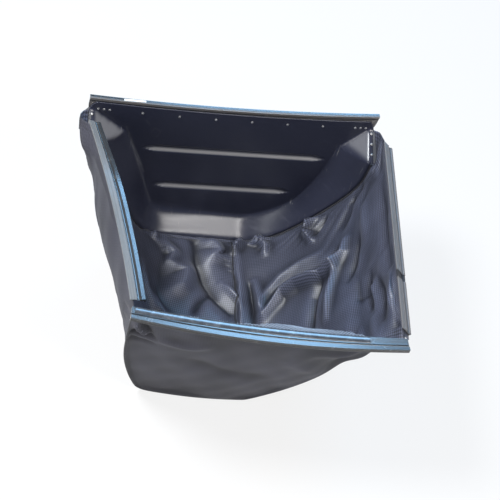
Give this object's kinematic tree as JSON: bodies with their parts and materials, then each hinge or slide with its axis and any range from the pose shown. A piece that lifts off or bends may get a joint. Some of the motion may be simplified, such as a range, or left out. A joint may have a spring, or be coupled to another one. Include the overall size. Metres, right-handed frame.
{
  "type": "mower grass bag",
  "caption": "Open-topped fabric grass collection bag for a ride-on mower, with a drawn plastic end panel, clip rails round its mouth, piped seams and riveted corners.",
  "frame": {"origin": "on the ground under the middle of the bag's bounding box, as it stands on its closed end", "axes": "+Z out of the mouth, +Y towards the drawn plastic panel, +X to the right seen from the front"},
  "size_m": [0.7472, 0.6742, 0.4617],
  "materials": {
    "panel": "satin, drawn",
    "rail": "semi-gloss, extruded",
    "fabric": "coated diagonal weave",
    "welt": "piping",
    "netting": "open mesh",
    "webbing": "woven webbing",
    "rivet": "blind rivet",
    "label": "blank label",
    "pull_tab": "folded ribbon"
  },
  "bodies": {
    "root": {"plastic_panel": "panel", "left_rail": "rail", "right_rail_long": "rail", "right_rail_short": "rail", "front_rail": "rail", "panel_rail": "rail", "right_strip_fabric": "fabric", "left_strip_fabric": "fabric", "front_fabric": "fabric", "front_hem": "fabric", "panel_seam_piping": "welt", "front_seam_piping": "welt", "netting_band": "netting", "left_corner_tab": "webbing", "right_corner_tab": "webbing", "blank_label": "label", "blank_pull_tab": "pull_tab", "rivet_row_1": "rivet", "rivet_row_2": "rivet", "rivet_row_3": "rivet", "rivet_row_4": "rivet", "rivet_row_5": "rivet", "rivet_row_6": "rivet", "rivet_left_corner_1": "rivet", "rivet_left_corner_2": "rivet", "rivet_left_corner_3": "rivet", "rivet_left_lip_1": "rivet", "rivet_left_lip_2": "rivet", "rivet_left_lip_3": "rivet", "rivet_right_corner_1": "rivet", "rivet_right_corner_2": "rivet", "rivet_right_corner_3": "rivet", "rivet_right_lip_1": "rivet", "rivet_right_lip_2": "rivet", "rivet_right_lip_3": "rivet"}
  },
  "joints": []
}
